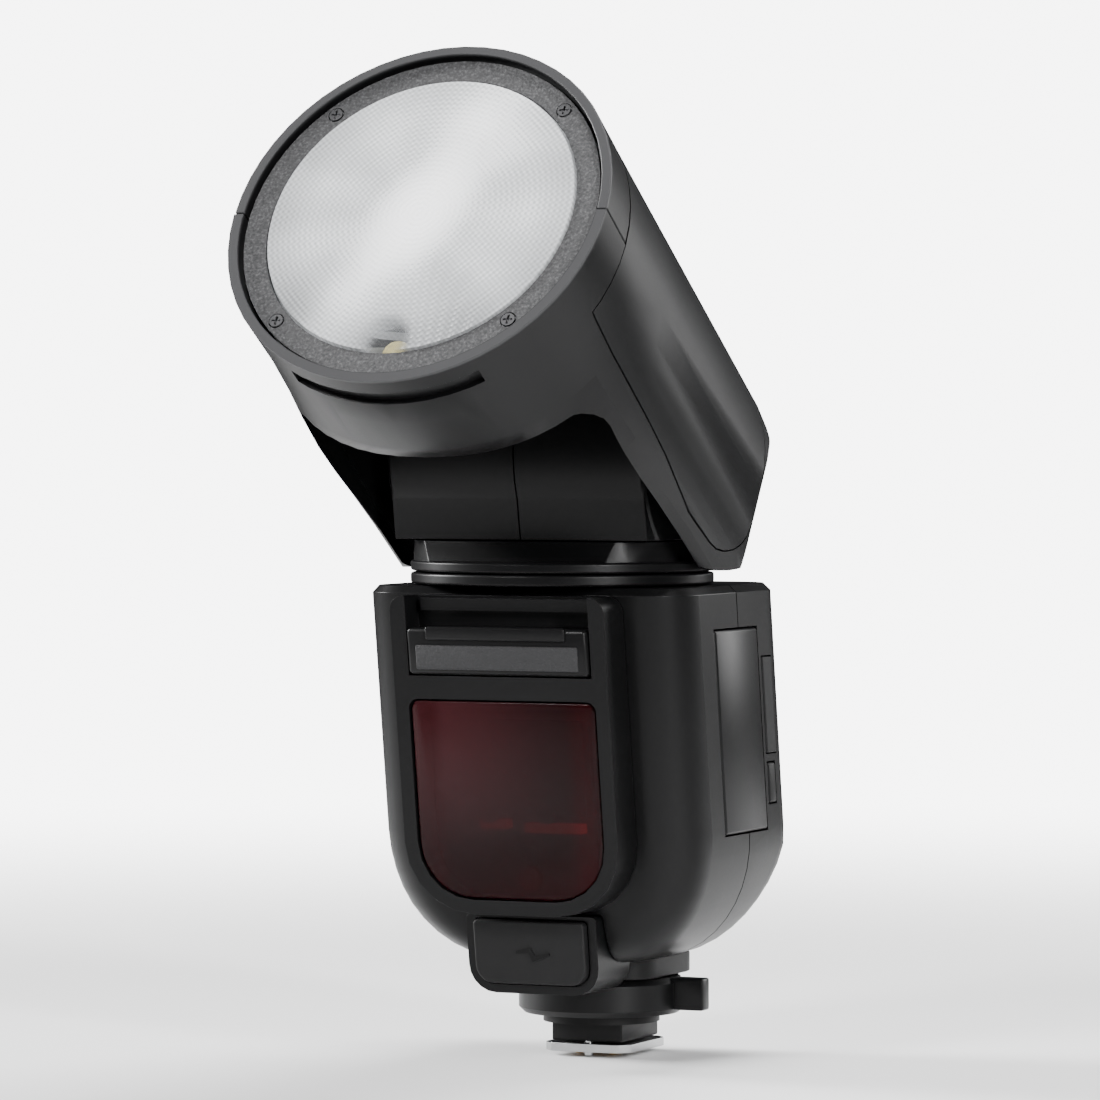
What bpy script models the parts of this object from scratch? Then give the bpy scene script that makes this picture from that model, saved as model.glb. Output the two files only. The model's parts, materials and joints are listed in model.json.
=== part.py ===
"""Speedlight flash: a round head on a tilting, swivelling neck, over a slanted body and a hot-shoe foot."""

import math

import bmesh
import bpy
from mathutils import Matrix, Vector

# Driving dimensions in millimetres and degrees. The origin is the centre of the foot's underside,
# +X is the side with the battery door, -Y is the front and +Z is up.
MM = 0.001
GAP = 0.3
WALL = 2.0

PIVOT_Y = -21.5
PIVOT_Z = 119.5
TILT = 33.4

HEAD_RADIUS = 38.0
HEAD_SIDE = 37.3
HEAD_REACH = 81.0
BAND_LENGTH = 11.6
RING_OUTER = 35.4
RING_INNER = 30.8
RING_DEPTH = 1.4
SCREW_CIRCLE = 33.2
SCREW_HEAD_RADIUS = 1.35
REAR_BARREL = 23.5
REAR_EDGE_RADIUS = 16.0
MOUTH_START = 27.5
MOUTH_HALF = 31.4
MOUTH_CORNER = 12.0
CAVITY_END = 62.0

NECK_RADIUS = 24.0
NECK_HALF = 27.0
NECK_WALL = 2.5
STALK_HALF = 20.5
HUB_RADIUS = 14.0
TRUNNION_RADIUS = 6.0
TRUNNION_END = 35.0

DISC_RADIUS = 29.7
BASE_RING_HEIGHT = 2.2
DISC_HEIGHT = 2.0
SKIRT_HEIGHT = 4.0
SPINDLE_RADIUS = 7.0
SPINDLE_BORE = 5.0

BODY_HALF_X = 34.0
BODY_HALF_Y = 28.0
BODY_CORNER = 10.0
BODY_TOP = 93.0
BODY_BOTTOM = 19.5
BODY_TOP_Y = -16.6
BODY_LEAN = 0.155
BODY_FLARE_Z = 45.0
BODY_FLARE_IN = 22.0
BODY_SLANT_Z = 40.0
BODY_SLANT = 0.62
SEAM_Y = 1.5

COLLAR_RADIUS = 16.5
COLLAR_BOTTOM = 7.5
COLLAR_TOP = 14.8
COLLAR_Y = -1.9
FOOT_WIDTH = 18.5
FOOT_LENGTH = 20.5
FOOT_THICKNESS = 1.7

WINDOW_HALF = 19.6
WINDOW_TOP = 71.5
WINDOW_BOTTOM = 32.5
WINDOW_CORNER = 11.0
BEZEL_MARGIN = 2.8
BEZEL_PROUD = 2.6

BATTERY_HALF_Y = 11.0
BATTERY_LOW = 44.5
BATTERY_HIGH = 84.5
BATTERY_INNER_X = -14.0

REFLECTOR_RADIUS = 24.0
REFLECTOR_LENGTH = 22.0
REFLECTOR_FRONT = 7.5
ZOOM_SCREW_X = 18.0
ZOOM_SCREW_W = 23.0

TILT_POINT = Vector((0.0, PIVOT_Y, PIVOT_Z))
HEAD_TURN = Matrix.Rotation(-math.radians(TILT), 4, "X")
HEAD_PLACE = Matrix.Translation(TILT_POINT * MM) @ HEAD_TURN @ Matrix.Translation((0, -HEAD_REACH * MM, 0))

parts = None
cutters = None


def clearScene():
    for obj in list(bpy.data.objects):
        bpy.data.objects.remove(obj, do_unlink=True)
    for old in list(bpy.data.collections):
        bpy.data.collections.remove(old)


def addCollection(name):
    made = bpy.data.collections.new(name)
    bpy.context.scene.collection.children.link(made)
    return made


def material(name, color, roughness, metallic=0.0, alpha=1.0):
    made = bpy.data.materials.get(name) or bpy.data.materials.new(name)
    made.use_nodes = True
    shader = made.node_tree.nodes["Principled BSDF"]
    shader.inputs["Base Color"].default_value = (*color, 1.0)
    shader.inputs["Roughness"].default_value = roughness
    shader.inputs["Metallic"].default_value = metallic
    shader.inputs["Alpha"].default_value = alpha
    return made


def keep(bm, name):
    """Turns a bmesh in millimetres into an object in metres."""
    bmesh.ops.recalc_face_normals(bm, faces=bm.faces)
    bm.transform(Matrix.Scale(MM, 4))
    mesh = bpy.data.meshes.new(name)
    bm.to_mesh(mesh)
    bm.free()
    obj = bpy.data.objects.new(name, mesh)
    cutters.objects.link(obj)
    obj.hide_render = True
    obj.display_type = "WIRE"
    return obj


def box(name, low, high, bevel=0.0, segments=2):
    bm = bmesh.new()
    bmesh.ops.create_cube(bm, size=1.0)
    size = [top - bottom for bottom, top in zip(low, high)]
    middle = [(top + bottom) / 2 for bottom, top in zip(low, high)]
    bmesh.ops.scale(bm, vec=size, verts=bm.verts)
    bmesh.ops.translate(bm, vec=middle, verts=bm.verts)
    if bevel:
        bmesh.ops.bevel(bm, geom=bm.edges[:], offset=bevel, segments=segments, affect="EDGES", profile=0.5)
    return keep(bm, name)


def turnTo(axis):
    """The matrix that turns +Z onto an axis."""
    return Vector((0, 0, 1)).rotation_difference(Vector(axis)).to_matrix().to_4x4()


def cylinder(name, radius, start, end, axis="Z", centre=(0, 0, 0), sides=32, tip=None, bevel=0.0):
    """A cylinder or, with a tip radius, a cone, from start to end along an axis."""
    bm = bmesh.new()
    top = radius if tip is None else tip
    bmesh.ops.create_cone(
        bm, cap_ends=True, segments=sides, radius1=radius, radius2=top, depth=end - start
    )
    if bevel:
        rims = [edge for edge in bm.edges if abs(edge.verts[0].co.z - edge.verts[1].co.z) < 1e-6]
        bmesh.ops.bevel(bm, geom=rims, offset=bevel, segments=1, affect="EDGES", profile=0.5)
    bmesh.ops.translate(bm, vec=(0, 0, (start + end) / 2), verts=bm.verts)
    along = {"X": (1, 0, 0), "Y": (0, 1, 0), "Z": (0, 0, 1)}[axis]
    bm.transform(Matrix.Translation(centre) @ turnTo(along))
    return keep(bm, name)


def prism(name, outline, start, end, axis="Z"):
    """A flat outline carried along an axis. It is (x, y) for Z, (y, z) for X and (x, z) for Y."""
    at = {
        "Z": lambda a, b, c: (a, b, c),
        "X": lambda a, b, c: (c, a, b),
        "Y": lambda a, b, c: (a, c, b),
    }[axis]
    bm = bmesh.new()
    face = bm.faces.new([bm.verts.new(at(a, b, start)) for a, b in outline])
    moved = bmesh.ops.extrude_face_region(bm, geom=[face])["geom"]
    bmesh.ops.translate(
        bm, vec=at(0, 0, end - start), verts=[item for item in moved if isinstance(item, bmesh.types.BMVert)]
    )
    return keep(bm, name)


def arc(cx, cy, radius, first, last, steps):
    turns = [math.radians(first + (last - first) * i / steps) for i in range(steps + 1)]
    return [(cx + radius * math.cos(t), cy + radius * math.sin(t)) for t in turns]


def rounded(x0, y0, x1, y1, radii, steps=5):
    """A rectangle with its own radius at the lower left, lower right, upper right and upper left."""
    a, b, c, d = radii if isinstance(radii, tuple) else (radii,) * 4
    points = arc(x0 + a, y0 + a, a, 180, 270, steps)
    points += arc(x1 - b, y0 + b, b, 270, 360, steps)
    points += arc(x1 - c, y1 - c, c, 0, 90, steps)
    points += arc(x0 + d, y1 - d, d, 90, 180, steps)
    return points


def loft(name, sections):
    """Joins closed rings of equal count, one after another, and caps both ends."""
    bm = bmesh.new()
    rings = [[bm.verts.new(point) for point in ring] for ring in sections]
    count = len(rings[0])
    for lower, upper in zip(rings, rings[1:]):
        for i in range(count):
            j = (i + 1) % count
            bm.faces.new((lower[i], lower[j], upper[j], upper[i]))
    bm.faces.new(rings[0][::-1])
    bm.faces.new(rings[-1])
    return keep(bm, name)


def boolean(obj, other, operation="DIFFERENCE"):
    """Cuts, joins or intersects at once, so that the tool can be used again."""
    step = obj.modifiers.new(operation.title(), "BOOLEAN")
    step.operation = operation
    step.object = other
    step.solver = "EXACT"
    bpy.context.view_layer.update()
    graph = bpy.context.evaluated_depsgraph_get()
    mesh = bpy.data.meshes.new_from_object(obj.evaluated_get(graph))
    obj.modifiers.clear()
    old = obj.data
    obj.data = mesh
    bpy.data.meshes.remove(old)
    return obj


def cut(obj, *tools):
    for tool in tools:
        boolean(obj, tool)
    return obj


def join(obj, *others):
    for other in others:
        boolean(obj, other, "UNION")
    return obj


def copyOf(obj, name):
    made = bpy.data.objects.new(name, obj.data.copy())
    cutters.objects.link(made)
    made.hide_render = True
    made.display_type = "WIRE"
    return made


def within(obj, region, name):
    """A copy of what an object has inside a region."""
    return boolean(copyOf(obj, name), region, "INTERSECT")


def transform(obj, matrix):
    obj.data.transform(matrix)
    return obj


def leanY(z):
    """The body's middle plane in Y at a height."""
    return BODY_TOP_Y + BODY_LEAN * (BODY_TOP - z)


LEAN = Matrix(
    ((1, 0, 0, 0), (0, 1, -BODY_LEAN, leanY(0.0) * MM), (0, 0, 1, 0), (0, 0, 0, 1))
)


def finish(obj, name, look, origin=None):
    """Moves a piece to the parts collection, names it, and puts its origin where it turns or slides."""
    for home in list(obj.users_collection):
        home.objects.unlink(obj)
    parts.objects.link(obj)
    obj.hide_render = False
    obj.display_type = "TEXTURED"
    obj.name = name
    obj.data.name = name
    if origin is not None:
        here = Vector(origin) * MM
        obj.data.transform(Matrix.Translation(-here))
        obj.location = here
    obj.data.materials.clear()
    obj.data.materials.append(look)
    obj.data.shade_smooth()
    obj.data.set_sharp_from_angle(angle=math.radians(35))
    return obj


def leaned(obj):
    return transform(obj, LEAN)


def bodySection(z, inset=0.0, lift=0.0):
    """The body's outline at a height, before it leans."""
    flare = max(0.0, BODY_FLARE_Z + lift - z) / (BODY_FLARE_Z - BODY_BOTTOM + 0.6)
    half = BODY_HALF_X - inset - BODY_FLARE_IN * (1 - math.sqrt(1 - min(1.0, flare) ** 2))
    dip = max(0.0, BODY_SLANT_Z - 6 + lift - z) / (BODY_SLANT_Z - 6 - BODY_BOTTOM + 0.5)
    front = -BODY_HALF_Y + inset + 7 * (1 - math.sqrt(1 - min(1.0, dip) ** 2))
    rear = BODY_HALF_Y - inset - BODY_SLANT * max(0.0, BODY_SLANT_Z + lift - z)
    return [(x, y, z) for x, y in rounded(-half, front, half, rear, BODY_CORNER - inset, 6)]


def bodySolid(name, bottom, top, inset=0.0, lift=0.0, edge=0.0):
    heights = [bottom + (BODY_FLARE_Z - bottom) * (i / 9) ** 1.5 for i in range(10)]
    sections = [bodySection(z, inset, lift) for z in heights]
    sections += [bodySection(top - edge, inset), bodySection(top, inset + edge)]
    return loft(name, sections)


def buildBody(looks):
    outer = bodySolid("bodyOuter", BODY_BOTTOM, BODY_TOP, edge=1.4)
    inner = bodySolid("bodyInner", BODY_BOTTOM + WALL, BODY_TOP - WALL, inset=WALL, lift=WALL)
    cut(outer, inner)
    spot = (0, PIVOT_Y, 0)
    hole = cylinder("bodySpindleHole", SPINDLE_RADIUS + GAP, BODY_TOP - 10, BODY_TOP + 5, "Z", spot)
    port = prism("powerPortHole", powerPortOutline(GAP), -60, -14.5, "Y")
    battery = box(
        "batteryHole",
        (20, -BATTERY_HALF_Y - GAP, BATTERY_LOW - GAP),
        (50, BATTERY_HALF_Y + GAP, BATTERY_HIGH + GAP),
    )
    latch = box("latchHole", (20, LATCH_NEAR - GAP, LATCH_LOW - GAP), (50, LATCH_FAR + GAP, LATCH_HIGH + GAP))
    strip = box("sidePortHole", (20, FLAP_NEAR - GAP, FLAP_LOW - GAP), (50, FLAP_FAR + GAP, FLAP_HIGH + GAP))
    cut(outer, port, battery, latch, strip)
    halves = {}
    regions = {
        "front_shell": box("frontRegion", (-60, -60, 0), (60, SEAM_Y - GAP / 2, 120)),
        "rear_shell": box("rearRegion", (-60, SEAM_Y + GAP / 2, 0), (60, 60, 120)),
    }
    for name, region in regions.items():
        halves[name] = cut(leaned(within(outer, region, name + "Cut")), hole)
    cut(halves["rear_shell"], *rearHoles())
    for name, half in halves.items():
        finish(half, name, looks["shell"])


def windowOutline(margin=0.0):
    low = WINDOW_BOTTOM - margin
    high = WINDOW_TOP + margin
    half = WINDOW_HALF + margin
    corner = WINDOW_CORNER + margin
    return rounded(-half, low, half, high, (corner, corner, 2 + margin, 2 + margin))


FRONT_Y = -BODY_HALF_Y - GAP
BEZEL_Y = FRONT_Y - 9.5
COVER_HALF = 18.8
COVER_LOW = 76.3
COVER_HIGH = 85.3


def buildFront(looks):
    column = prism(
        "column",
        rounded(
            -WINDOW_HALF - BEZEL_MARGIN, WINDOW_BOTTOM - BEZEL_MARGIN, WINDOW_HALF + BEZEL_MARGIN, 91.5,
            (WINDOW_CORNER + BEZEL_MARGIN, WINDOW_CORNER + BEZEL_MARGIN, 3, 3),
        ),
        BEZEL_Y, FRONT_Y, "Y",
    )
    tunnel = prism("tunnel", windowOutline(), BEZEL_Y - 5, FRONT_Y + 5, "Y")
    recess = box("coverRecess", (-COVER_HALF - GAP, -60, COVER_LOW - GAP), (COVER_HALF + GAP, -31.6, 95))
    half = COVER_HALF - 4
    slot = box("coverSlot", (-half, -33, COVER_LOW + 2), (half, FRONT_Y - 1, COVER_HIGH - 2))
    cut(column, tunnel, recess, slot)
    lip = box("lip", (-17.9, -33.2, 88.5), (17.9, -31.2, 90.9))
    finish(leaned(join(column, lip)), "front_bezel", looks["bezel"])

    pane = prism("pane", windowOutline(-GAP), BEZEL_Y + 0.6, BEZEL_Y + 2.4, "Y")
    finish(leaned(pane), "front_window", looks["red"])

    board = box("board", (-15, FRONT_Y - 1.6, 37), (15, FRONT_Y - 0.05, 66))
    lamps = [
        cylinder("lamp", radius, FRONT_Y - 5.5, FRONT_Y - 1.2, "Y", (x, 0, z), 16)
        for x, z, radius in ((-6, 50, 2.6), (6, 50, 2.6), (0, 40.5, 2.2))
    ]
    finish(leaned(join(board, *lamps)), "lamp_board", looks["board"])

    cover = box("cover", (-COVER_HALF, BEZEL_Y - 0.9, COVER_LOW), (COVER_HALF, -32, COVER_HIGH), 0.8)
    half = COVER_HALF - 4.4
    tongue = box("tongue", (-half, -33, COVER_LOW + 2.4), (half, FRONT_Y - 1.3, COVER_HIGH - 2.4))
    finish(leaned(join(cover, tongue)), "accessory_port_cover", looks["shell"], (0, leanY(80) + BEZEL_Y, 80))


POWER_HALF = 13.7
POWER_LOW = 13.7
POWER_HIGH = 29.2
POWER_FRONT = -30.5
POWER_RIM = 2.0
FLAP_FRONT = -32.2


def powerPortOutline(margin=0.0):
    return rounded(
        -POWER_HALF - margin, POWER_LOW - margin, POWER_HALF + margin, POWER_HIGH + margin, (5.5, 5.5, 1, 1)
    )


def flapOutline(margin=0.0):
    return rounded(
        -POWER_HALF + POWER_RIM - margin, POWER_LOW + POWER_RIM - margin,
        POWER_HALF - POWER_RIM + margin, POWER_HIGH - 1 + margin, (3.5, 3.5, 1, 1),
    )


def buildPowerPort(looks):
    housing = prism("housing", powerPortOutline(), POWER_FRONT, -14.8, "Y")
    recess = prism("flapRecess", flapOutline(GAP), -50, POWER_FRONT + 1.2, "Y")
    well = box("plugWell", (-8.3, -40, 18), (8.3, -24, 26.4))
    finish(leaned(cut(housing, recess, well)), "power_port_socket", looks["bezel"])
    flap = prism("flap", flapOutline(), FLAP_FRONT, POWER_FRONT + 0.9, "Y")
    plug = box("plug", (-8, POWER_FRONT, 18.4), (8, -27, 26))
    low = POWER_LOW + POWER_RIM
    finish(leaned(join(flap, plug)), "power_port_cover", looks["rubber"], (0, leanY(low) + FLAP_FRONT, low))


LATCH_NEAR = 12.8
LATCH_FAR = 16.6
LATCH_LOW = 49.5
LATCH_HIGH = 57.5
FLAP_NEAR = 12.7
FLAP_FAR = 17.6
FLAP_LOW = 59.5
FLAP_HIGH = 78.5
FLAP_INNER = 31.8
FLAP_OUTER = BODY_HALF_X + 0.2


def buildSide(looks):
    pack = box(
        "pack",
        (BATTERY_INNER_X, -BATTERY_HALF_Y, BATTERY_LOW),
        (BODY_HALF_X + 0.2, BATTERY_HALF_Y, BATTERY_HIGH),
        0.6,
    )
    finish(leaned(pack), "battery", looks["shell"], (BODY_HALF_X, leanY(64), 64))
    latch = box("latch", (28, LATCH_NEAR, LATCH_LOW), (BODY_HALF_X + 0.2, LATCH_FAR, LATCH_HIGH), 0.5)
    finish(leaned(latch), "battery_latch", looks["shell"], (BODY_HALF_X, leanY(53) + 14.7, 53))
    # The inner front corner is cut away, so that it clears the shell as the cover swings out on its rear edge.
    outline = [
        (FLAP_INNER, FLAP_NEAR + 1.0), (FLAP_OUTER - 1.0, FLAP_NEAR), (FLAP_OUTER, FLAP_NEAR + 0.3),
        (FLAP_OUTER, FLAP_FAR), (FLAP_INNER, FLAP_FAR),
    ]
    strip = prism("strip", outline, FLAP_LOW, FLAP_HIGH)
    finish(leaned(strip), "side_port_cover", looks["rubber"], (FLAP_OUTER, leanY(69) + FLAP_FAR, 69))
    low = (FLAP_INNER - 7.8, FLAP_NEAR, FLAP_LOW + 0.5)
    socket = box("socket", low, (FLAP_INNER - GAP, FLAP_FAR - 0.1, FLAP_HIGH - 0.5), 0.4)
    finish(leaned(socket), "side_port_socket", looks["bezel"])


PANEL_Z = 60.0
PANEL = Matrix.Translation(Vector((0, leanY(PANEL_Z) + BODY_HALF_Y, PANEL_Z)) * MM) @ Matrix.Rotation(
    math.atan(BODY_LEAN), 4, "X"
)
KEY_DEPTH = -3.4
KEY_PROUD = 1.2
DIAL_Z = -10.5
DIAL_RADIUS = 8.6
DIAL_HOLE = 4.2
LCD_HALF = 20.0
LCD_LOW = 6.0
LCD_HIGH = 29.0
KEYS = {
    "function_button_1": (-15.0, 0.5, 3.3, 1.9),
    "function_button_2": (-5.0, 0.5, 3.3, 1.9),
    "function_button_3": (5.0, 0.5, 3.3, 1.9),
    "function_button_4": (15.0, 0.5, 3.3, 1.9),
    "mode_button": (-16.0, DIAL_Z, 3.2, 3.2),
    "test_button": (16.0, DIAL_Z + 4.0, 3.0, 2.0),
}
SWITCH = (16.0, DIAL_Z - 4.0, 3.0, 2.0)
SWITCH_TRAVEL = 3.0


def onPanel(obj):
    return transform(obj, PANEL)


def rearHoles():
    """What passes through the rear shell, in the panel's own frame: x, depth, height up the face."""
    holes = []
    for name, (x, z, halfX, halfZ) in KEYS.items():
        low = (x - halfX - GAP, -9, z - halfZ - GAP)
        holes.append(box(name + "Hole", low, (x + halfX + GAP, 9, z + halfZ + GAP)))
    x, z, halfX, halfZ = SWITCH
    low = (x - halfX - SWITCH_TRAVEL - GAP, -9, z - halfZ - GAP)
    holes.append(box("switchHole", low, (x + halfX + GAP, 9, z + halfZ + GAP)))
    holes.append(cylinder("dialHole", DIAL_RADIUS + GAP, -9, 9, "Y", (0, 0, DIAL_Z), 40))
    low = (-LCD_HALF - GAP, -9, LCD_LOW - GAP)
    holes.append(box("lcdHole", low, (LCD_HALF + GAP, 9, LCD_HIGH + GAP)))
    return [onPanel(hole) for hole in holes]


def buildRear(looks):
    for name, (x, z, halfX, halfZ) in KEYS.items():
        key = box(name + "Cap", (x - halfX, KEY_DEPTH, z - halfZ), (x + halfX, KEY_PROUD, z + halfZ), 0.5)
        finish(onPanel(key), name, looks["key"], PANEL @ (Vector((x, 0, z)) * MM) / MM)
    x, z, halfX, halfZ = SWITCH
    knob = box("knob", (x - halfX, KEY_DEPTH, z - halfZ), (x + halfX, KEY_PROUD, z + halfZ), 0.5)
    finish(onPanel(knob), "power_switch", looks["key"], PANEL @ (Vector((x, 0, z)) * MM) / MM)

    middle = PANEL @ (Vector((0, 0, DIAL_Z)) * MM) / MM
    dial = cylinder("dialCap", DIAL_RADIUS, KEY_DEPTH, 2.4, "Y", (0, 0, DIAL_Z), 32, bevel=0.5)
    cut(dial, cylinder("dialBore", DIAL_HOLE, -9, 9, "Y", (0, 0, DIAL_Z), 20))
    finish(onPanel(dial), "control_dial", looks["key"], middle)
    centre = cylinder("setCap", DIAL_HOLE - GAP, KEY_DEPTH, 1.8, "Y", (0, 0, DIAL_Z), 20, bevel=0.4)
    finish(onPanel(centre), "set_button", looks["key"], middle)

    pane = box("lcdPane", (-LCD_HALF, -1.4, LCD_LOW), (LCD_HALF, 0.3, LCD_HIGH))
    finish(onPanel(pane), "lcd_window", looks["glass"])
    panel = box("lcdGlass", (-LCD_HALF + 0.5, -3.9, LCD_LOW), (LCD_HALF - 0.5, -1.7, LCD_HIGH - 1))
    finish(onPanel(panel), "lcd_panel", looks["screen"])
    board = box("keyBoard", (-22, -5.8, DIAL_Z - 8), (22, -4.5, LCD_LOW - 0.4))
    rim = box("keyRim", (-18, -5.8, LCD_LOW - 2), (18, -4.2, LCD_LOW + 6))
    finish(onPanel(join(board, rim)), "key_board", looks["board"])


def buildInside(looks):
    inner = -BODY_HALF_Y + WALL + GAP
    board = box("mainBoard", (-24, inner, 37), (24, inner + 1.5, 87))
    finish(leaned(board), "main_board", looks["board"])
    behind = inner + 1.5 + GAP
    winding = box("winding", (-27.5, behind, 55), (-16.8, behind + 9.5, 70), 0.6)
    finish(leaned(winding), "transformer", looks["copper"])
    radius = 6.4
    z = BATTERY_LOW - 1.2 - radius
    y = leanY(z + 4) + behind + radius + 0.9
    can = cylinder("can", radius, -21, 21, "X", (0, y, z), 24, bevel=0.8)
    finish(can, "flash_capacitor", looks["can"])


PIN_Y = -8.2
CONTACTS = ((0, 0, 1.7), (-3.6, -4.4, 0.8), (3.6, -4.4, 0.8), (-3.6, 4.4, 0.8), (3.6, 4.4, 0.8))


def buildFoot(looks):
    turret = prism("turret", rounded(-15, -16.4, 15, 13.5, 7), COLLAR_TOP + GAP, BODY_BOTTOM - GAP)
    finish(turret, "shoe_turret", looks["bezel"])
    spot = (0, COLLAR_Y, 0)
    collar = cylinder("collarBody", COLLAR_RADIUS, COLLAR_BOTTOM, COLLAR_TOP, "Z", spot, 40, bevel=1.1)
    lever = box("lever", (14.5, COLLAR_Y - 1.9, 8.4), (22.5, COLLAR_Y + 1.9, COLLAR_TOP), 0.5)
    bore = cylinder("collarBore", 12.0, 0, 20, "Z", spot, 28)
    finish(cut(join(collar, lever), bore), "lock_collar", looks["shell"], (0, COLLAR_Y, COLLAR_TOP))
    block = box("block", (-7.5, -9.5, FOOT_THICKNESS + GAP), (7.5, 9.5, 6.2), 0.4)
    step = cylinder("step", 11.6, 5.7, COLLAR_TOP, "Z", spot, 36)
    pinHole = cylinder("pinHole", 0.9 + GAP, -5, 9.5, "Z", (0, PIN_Y, 0), 16)
    finish(cut(join(block, step), pinHole), "foot_block", looks["bezel"])
    plate = prism("plate", chamfered(FOOT_WIDTH / 2, FOOT_LENGTH / 2, 2.0), 0, FOOT_THICKNESS)
    seat = box("contactSeat", (-5.6, -6.6, -5), (5.6, 7, 5))
    finish(cut(plate, seat, pinHole), "foot_plate", looks["chrome"])
    carrier = box("carrier", (-5.3, -6.3, 0.3), (5.3, 6.7, FOOT_THICKNESS))
    tips = [cylinder("tip", radius, -0.8, 1.0, "Z", (x, y, 0), 12) for x, y, radius in CONTACTS]
    finish(join(carrier, *tips), "contact_pins", looks["brass"])
    pin = cylinder("pin", 0.9, -1.0, 7.0, "Z", (0, PIN_Y, 0), 16, bevel=0.25)
    finish(pin, "lock_pin", looks["chrome"], (0, PIN_Y, 0))


def chamfered(halfX, halfY, corner):
    points = []
    for sx, sy in ((-1, -1), (1, -1), (1, 1), (-1, 1)):
        ends = [(sx * halfX, sy * (halfY - corner)), (sx * (halfX - corner), sy * halfY)]
        points += ends if sx * sy > 0 else ends[::-1]
    return points


RING_TOP = BODY_TOP + GAP + BASE_RING_HEIGHT
DISC_BOTTOM = RING_TOP + GAP
SKIRT_BOTTOM = DISC_BOTTOM + DISC_HEIGHT
SKIRT_TOP = SKIRT_BOTTOM + SKIRT_HEIGHT
NECK_BOTTOM = SKIRT_TOP + GAP
CLIP_RADIUS = 9.5


def buildSwivel(looks):
    spot = (0, PIVOT_Y, 0)
    bore = cylinder("spindleBore", SPINDLE_RADIUS + GAP, 60, 130, "Z", spot, 24)
    ring = cylinder("ringBody", DISC_RADIUS, BODY_TOP + GAP, RING_TOP, "Z", spot, 44, bevel=0.3)
    finish(cut(ring, bore), "swivel_base", looks["bezel"])
    disc = cylinder("discBody", DISC_RADIUS, DISC_BOTTOM, SKIRT_BOTTOM, "Z", spot, 44, bevel=0.3)
    skirt = loft(
        "skirt",
        [
            [(x, y + PIVOT_Y, z) for x, y in rounded(-halfX, -halfY, halfX, halfY, 8)]
            for z, halfX, halfY in (
                (SKIRT_BOTTOM - 0.5, NECK_HALF + 0.4, 22.5),
                (SKIRT_BOTTOM, NECK_HALF + 0.4, 22.5),
                (SKIRT_TOP, NECK_HALF, STALK_HALF + 0.6),
            )
        ],
    )
    clip = box("discLimit", (-60, -60, DISC_BOTTOM + 0.6), (60, 60, SKIRT_TOP))
    wide = cylinder("discWide", DISC_RADIUS - 0.6, DISC_BOTTOM, SKIRT_TOP + 1, "Z", spot, 44)
    boolean(boolean(skirt, wide, "INTERSECT"), clip, "INTERSECT")
    finish(cut(join(disc, skirt), bore), "swivel_disc", looks["shell"], (0, PIVOT_Y, DISC_BOTTOM))
    tube = cylinder("tube", SPINDLE_RADIUS, BODY_TOP - 5, NECK_BOTTOM + 3.5, "Z", spot, 24)
    flange = cylinder("flange", CLIP_RADIUS, BODY_TOP - 5, BODY_TOP - WALL - GAP, "Z", spot, 24)
    hollow = cylinder("hollow", SPINDLE_BORE, 60, 130, "Z", spot, 16)
    finish(cut(join(tube, flange), hollow), "swivel_spindle", looks["steel"], (0, PIVOT_Y, DISC_BOTTOM))

    spot = (0, PIVOT_Y, PIVOT_Z)
    barrel = cylinder("barrel", NECK_RADIUS, -NECK_HALF, NECK_HALF, "X", spot, 48, bevel=0.8)
    stalk = prism(
        "stalk",
        [(PIVOT_Y - STALK_HALF, NECK_BOTTOM), (PIVOT_Y + STALK_HALF, NECK_BOTTOM)]
        + arc(PIVOT_Y, PIVOT_Z, NECK_RADIUS - 0.4, -18, 198, 6),
        -NECK_HALF + 0.5, NECK_HALF - 0.5, "X",
    )
    below = box("belowNeck", (-60, -90, 60), (60, 60, NECK_BOTTOM))
    cut(join(barrel, stalk), below)
    inner = NECK_HALF - NECK_WALL
    room = cylinder("neckRoom", NECK_RADIUS - NECK_WALL, -inner, inner, "X", spot, 32)
    floor = box("neckFloor", (-60, -90, 60), (60, 60, NECK_BOTTOM + NECK_WALL))
    cut(barrel, cut(room, floor), bore)
    axle = cylinder("trunnionHole", TRUNNION_RADIUS + GAP, -60, 60, "X", spot, 32)
    cut(barrel, axle)
    for side, low, high in (("left", -60, -GAP / 2), ("right", GAP / 2, 60)):
        half = box(side + "Half", (low, -90, 60), (high, 60, 180))
        finish(within(barrel, half, side + "Cut"), "neck_shell_" + side, looks["shell"], (0, PIVOT_Y, PIVOT_Z))
        sign = -1 if side == "left" else 1
        pin = cylinder("pinBody", TRUNNION_RADIUS, NECK_HALF - NECK_WALL - 4, TRUNNION_END, "Z", sides=24)
        inside = NECK_HALF - NECK_WALL - GAP
        collar = cylinder("pinCollar", TRUNNION_RADIUS + 3, inside - 3, inside, sides=24)
        wires = cylinder("wireBore", TRUNNION_RADIUS - 2, 0, 60, "Z", sides=16)
        cut(join(pin, collar), wires)
        transform(pin, Matrix.Translation(TILT_POINT * MM) @ Matrix.Rotation(sign * math.pi / 2, 4, "Y"))
        finish(pin, "trunnion_" + side, looks["steel"], (0, PIVOT_Y, PIVOT_Z))


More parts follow.
